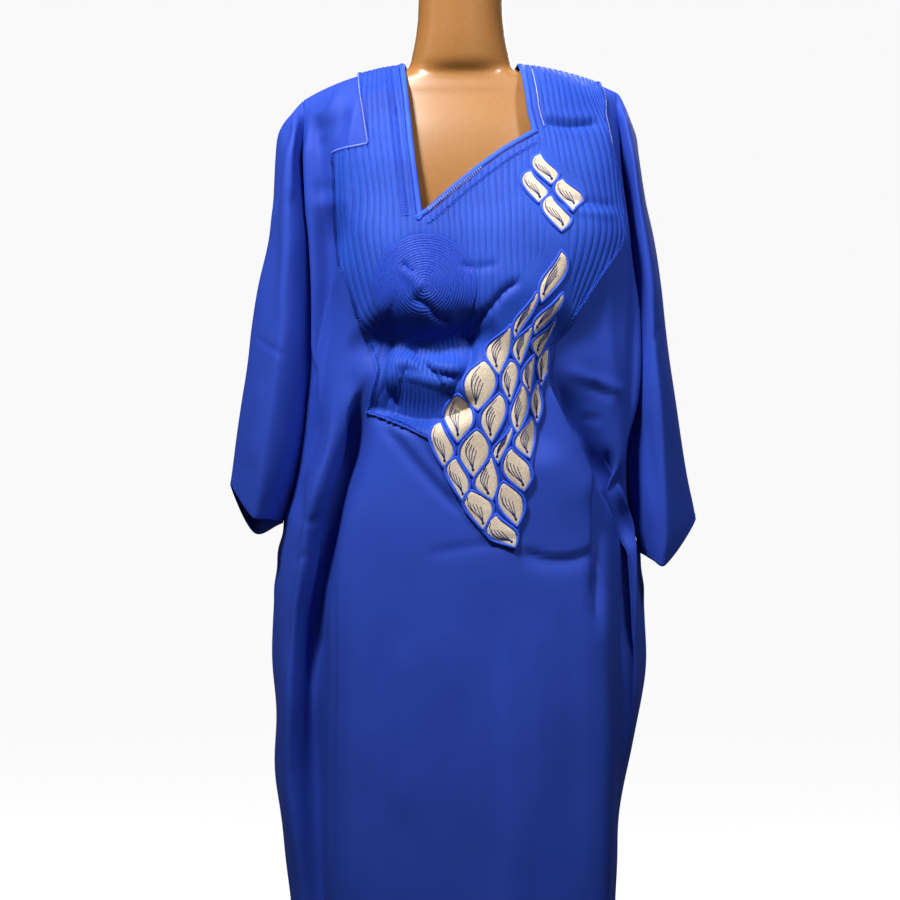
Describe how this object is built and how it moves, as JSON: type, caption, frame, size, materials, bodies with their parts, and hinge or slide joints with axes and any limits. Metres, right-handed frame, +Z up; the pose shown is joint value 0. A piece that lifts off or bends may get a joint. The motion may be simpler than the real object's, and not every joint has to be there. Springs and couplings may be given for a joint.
{
  "type": "grand boubou robe on limbless display torso",
  "caption": "Ankle-length blue grand boubou robe with a ribbed embroidered breast panel and raised leaf motifs, on a smooth limbless display torso with pole and round base.",
  "frame": {"origin": "centre of the underside of the round stand base, on the floor", "axes": "+Z up along the pole to the neck, -Y out of the front of the robe, +X to the viewer's right"},
  "size_m": [0.558, 0.36, 1.575],
  "materials": {
    "cloth": "smooth royal blue crepe",
    "yoke": "ribbed bright blue satin stitch",
    "cord": "stitched blue cord",
    "leaf": "raised beige satin stitch",
    "torso": "glossy gold-tan",
    "stand": "satin light grey"
  },
  "bodies": {
    "root": {"back": "cloth", "display_torso": "torso", "front": "cloth", "leaf_01": "leaf", "leaf_02": "leaf", "leaf_03": "leaf", "leaf_04": "leaf", "leaf_05": "leaf", "leaf_06": "leaf", "leaf_07": "leaf", "leaf_08": "leaf", "leaf_09": "leaf", "leaf_10": "leaf", "leaf_11": "leaf", "leaf_12": "leaf", "leaf_13": "leaf", "leaf_14": "leaf", "leaf_15": "leaf", "leaf_16": "leaf", "leaf_17": "leaf", "leaf_18": "leaf", "leaf_19": "leaf", "leaf_20": "leaf", "leaf_21": "leaf", "leaf_22": "leaf", "leaf_23": "leaf", "leaf_24": "leaf", "leaf_25": "leaf", "leaf_26": "leaf", "leaf_27": "leaf", "leaf_28": "leaf", "neck_binding": "cord", "roundel": "yoke", "sleeve_left": "cloth", "sleeve_right": "cloth", "stand_base": "stand", "stand_pole": "stand", "yoke": "yoke"}
  },
  "joints": []
}
